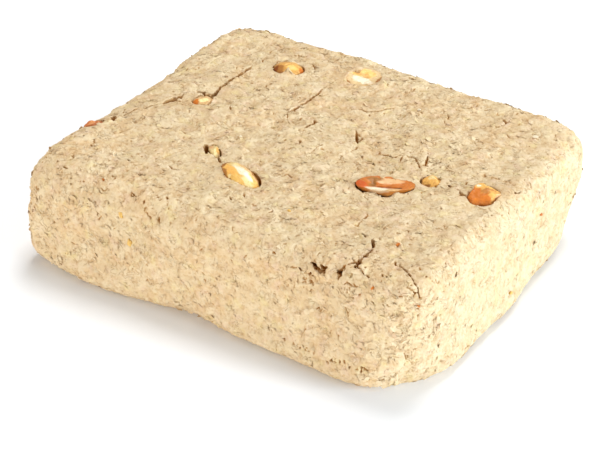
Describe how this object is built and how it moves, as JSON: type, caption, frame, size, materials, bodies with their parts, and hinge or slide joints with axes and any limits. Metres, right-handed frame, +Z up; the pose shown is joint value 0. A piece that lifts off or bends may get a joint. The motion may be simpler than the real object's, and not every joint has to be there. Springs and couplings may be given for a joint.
{
  "type": "block of sunflower halva",
  "caption": "Hand-pressed rectangular block of crumbly tan halva with rounded, cracked edges and pieces of roasted peanut set in its top; it rests on its flat underside.",
  "frame": {"origin": "middle of the block's outline, on the surface that it stands on", "axes": "+X along the block's long side, -Y out of its front, +Z up"},
  "size_m": [0.12, 0.0996, 0.0332],
  "materials": {
    "halva": "dry, matte, fibrous and crumbly tan",
    "golden_peanut": "golden roasted kernel with a soft oily sheen",
    "pale_peanut": "pale yellow kernel with a soft oily sheen",
    "peanut_skin": "orange-brown peanut skin, thin and slightly glossy",
    "dark_skin": "dark red-brown peanut skin"
  },
  "bodies": {
    "root": {"halva_block": "halva", "peanut_golden_whole": "golden_peanut", "peanut_split_long": "peanut_skin", "peanut_curved_crumb": "golden_peanut", "peanut_skinned_chunk": "peanut_skin", "peanut_buried_brown": "peanut_skin", "peanut_pale_half": "pale_peanut", "peanut_pale_sliver": "pale_peanut", "peanut_rim_red": "dark_skin", "peanut_thin_yellow": "golden_peanut"}
  },
  "joints": []
}
